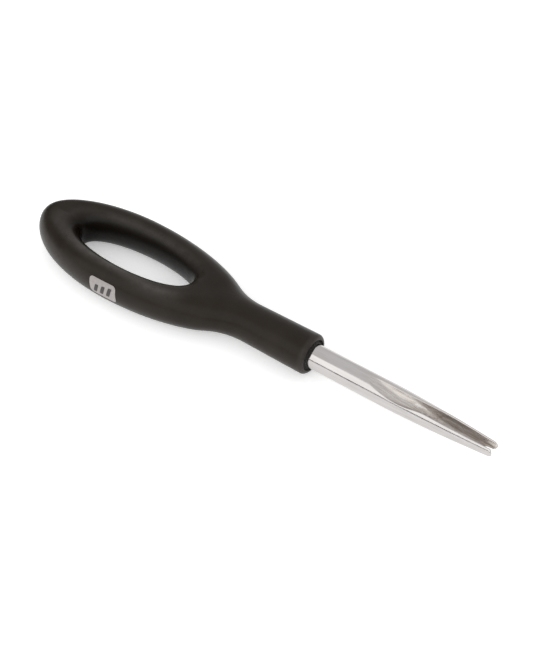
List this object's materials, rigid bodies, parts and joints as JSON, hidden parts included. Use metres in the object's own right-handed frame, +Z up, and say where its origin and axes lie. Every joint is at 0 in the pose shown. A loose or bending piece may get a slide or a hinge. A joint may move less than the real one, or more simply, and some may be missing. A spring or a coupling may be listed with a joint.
{
  "type": "knot tying tool",
  "caption": "Slim hand tool for tying line knots: tapered steel tube with an open channel and forked tip, set in a soft black handle that ends in an oval finger loop.",
  "frame": {"origin": "middle of the bounding box in length and width, on the flat surface that the tool lies on", "axes": "+X along the tool from the finger loop to the forked tip, +Z up through the loop's opening, +Y to the left seen from above"},
  "size_m": [0.1302, 0.0248, 0.0105],
  "materials": {
    "core_plastic": "matte moulded",
    "grip_rubber": "satin soft touch",
    "tube_steel": "drawn and lightly polished",
    "adhesive": "rough set adhesive",
    "badge_pale": "satin foil",
    "badge_ink": "matte ink"
  },
  "bodies": {
    "root": {"handle_core": "core_plastic", "grip_skin": "grip_rubber", "knot_tube": "tube_steel", "bond_ring": "adhesive", "badge_plate": "badge_pale", "badge_mark": "badge_ink"}
  },
  "joints": []
}
